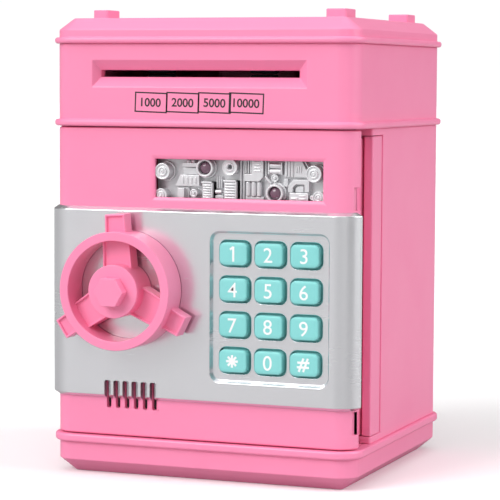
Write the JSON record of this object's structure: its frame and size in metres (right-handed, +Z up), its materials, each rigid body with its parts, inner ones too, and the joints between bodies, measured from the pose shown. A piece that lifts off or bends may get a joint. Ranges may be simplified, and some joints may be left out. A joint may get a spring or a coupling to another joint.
{
  "type": "toy safe coin bank",
  "caption": "Toy safe money box with a hinged keypad door, handwheel-thrown bolt, powered note feed slot and roof coin slot.",
  "frame": {"origin": "middle of the base's underside, on the surface that it stands on", "axes": "+Z up, +X to the viewer's right facing the door, the door faces -Y"},
  "size_m": [0.1316, 0.1382, 0.1865],
  "materials": {
    "pink_shell": "satin pink moulded ABS",
    "pink_inner": "pink moulded ABS, inner faces",
    "silver_paint": "satin silver paint on plastic",
    "teal_keys": "satin teal moulded keys with white numbers",
    "steel": "plated steel",
    "cell_sleeve": "plain printed sleeve",
    "black_plastic": "matt black",
    "roller_rubber": "matt rubber",
    "white_plastic": "natural acetal or silicone",
    "board": "green circuit board",
    "led_lens": "dark tinted lens"
  },
  "bodies": {
    "cabinet": {"base_tray": "pink_shell", "battery_cover": "pink_shell", "battery_cover_screw": "steel", "battery_cell_1": "cell_sleeve", "battery_cell_2": "cell_sleeve", "battery_cell_3": "cell_sleeve", "battery_contact_front": "steel", "battery_contact_rear": "steel", "floor_panel": "pink_inner", "case_screw_1": "steel", "case_screw_2": "steel", "case_screw_3": "steel", "case_screw_4": "steel", "main_shell": "pink_shell", "upper_case": "pink_shell", "mid_deck": "pink_inner", "roof_cover": "pink_shell", "note_guide": "black_plastic", "note_sensor": "black_plastic", "feed_motor": "steel"},
    "door": {"door_shell": "pink_shell", "door_back_panel": "pink_inner", "silver_fascia": "silver_paint", "machinery_relief": "silver_paint", "status_led_1": "led_lens", "status_led_2": "led_lens", "keypad_board": "board", "key_membrane": "white_plastic", "speaker": "black_plastic", "door_screw_1": "steel", "door_screw_2": "steel", "door_screw_3": "steel", "door_screw_4": "steel"},
    "wheel": {"handwheel": "pink_shell", "wheel_cap": "pink_shell", "wheel_shaft": "steel", "latch_pinion": "white_plastic"},
    "bolt": {"latch_bolt": "white_plastic"},
    "feed": {"feed_shaft": "steel", "feed_roller_1": "roller_rubber", "feed_roller_2": "roller_rubber", "feed_gear": "white_plastic"},
    "motor_shaft": {"motor_pinion": "white_plastic"},
    "idler": {"pinch_shaft": "steel", "pinch_roller_1": "roller_rubber", "pinch_roller_2": "roller_rubber"},
    "button_1": {"key_1": "teal_keys"},
    "button_2": {"key_2": "teal_keys"},
    "button_3": {"key_3": "teal_keys"},
    "button_4": {"key_4": "teal_keys"},
    "button_5": {"key_5": "teal_keys"},
    "button_6": {"key_6": "teal_keys"},
    "button_7": {"key_7": "teal_keys"},
    "button_8": {"key_8": "teal_keys"},
    "button_9": {"key_9": "teal_keys"},
    "button_star": {"key_star": "teal_keys"},
    "button_0": {"key_0": "teal_keys"},
    "button_hash": {"key_hash": "teal_keys"}
  },
  "joints": [
    {"name": "door_hinge", "type": "hinge", "parent": "cabinet", "child": "door", "pos_m": [0.062, -0.02575, 0.078], "axis": [0, 0, 1], "range_deg": [0, 95]},
    {"name": "wheel_turn", "type": "hinge", "parent": "door", "child": "wheel", "pos_m": [-0.0302, -0.05775, 0.076], "axis": [0, 1, 0], "range_deg": [0, 60]},
    {"name": "bolt_slide", "type": "slide", "parent": "door", "child": "bolt", "axis": [-1, 0, 0], "range_m": [0, 0.0043]},
    {"name": "feed_spin", "type": "hinge", "parent": "cabinet", "child": "feed", "pos_m": [0, -0.04155, 0.1559], "axis": [1, 0, 0], "continuous": true},
    {"name": "motor_spin", "type": "hinge", "parent": "cabinet", "child": "motor_shaft", "pos_m": [0, -0.03116, 0.1619], "axis": [1, 0, 0], "continuous": true},
    {"name": "idler_spin", "type": "hinge", "parent": "cabinet", "child": "idler", "pos_m": [0, -0.04155, 0.1663], "axis": [1, 0, 0], "continuous": true},
    {"name": "press_1", "type": "slide", "parent": "door", "child": "button_1", "axis": [0, 1, 0], "range_m": [0, 0.0012], "stiffness_N_per_m": 600},
    {"name": "press_2", "type": "slide", "parent": "door", "child": "button_2", "axis": [0, 1, 0], "range_m": [0, 0.0012], "stiffness_N_per_m": 600},
    {"name": "press_3", "type": "slide", "parent": "door", "child": "button_3", "axis": [0, 1, 0], "range_m": [0, 0.0012], "stiffness_N_per_m": 600},
    {"name": "press_4", "type": "slide", "parent": "door", "child": "button_4", "axis": [0, 1, 0], "range_m": [0, 0.0012], "stiffness_N_per_m": 600},
    {"name": "press_5", "type": "slide", "parent": "door", "child": "button_5", "axis": [0, 1, 0], "range_m": [0, 0.0012], "stiffness_N_per_m": 600},
    {"name": "press_6", "type": "slide", "parent": "door", "child": "button_6", "axis": [0, 1, 0], "range_m": [0, 0.0012], "stiffness_N_per_m": 600},
    {"name": "press_7", "type": "slide", "parent": "door", "child": "button_7", "axis": [0, 1, 0], "range_m": [0, 0.0012], "stiffness_N_per_m": 600},
    {"name": "press_8", "type": "slide", "parent": "door", "child": "button_8", "axis": [0, 1, 0], "range_m": [0, 0.0012], "stiffness_N_per_m": 600},
    {"name": "press_9", "type": "slide", "parent": "door", "child": "button_9", "axis": [0, 1, 0], "range_m": [0, 0.0012], "stiffness_N_per_m": 600},
    {"name": "press_star", "type": "slide", "parent": "door", "child": "button_star", "axis": [0, 1, 0], "range_m": [0, 0.0012], "stiffness_N_per_m": 600},
    {"name": "press_0", "type": "slide", "parent": "door", "child": "button_0", "axis": [0, 1, 0], "range_m": [0, 0.0012], "stiffness_N_per_m": 600},
    {"name": "press_hash", "type": "slide", "parent": "door", "child": "button_hash", "axis": [0, 1, 0], "range_m": [0, 0.0012], "stiffness_N_per_m": 600}
  ],
  "couplings": [
    {"joint": "bolt_slide", "follows": "wheel_turn", "m_per_rad": 0.004},
    {"joint": "motor_spin", "follows": "feed_spin", "ratio": -2},
    {"joint": "idler_spin", "follows": "feed_spin", "ratio": -1}
  ]
}
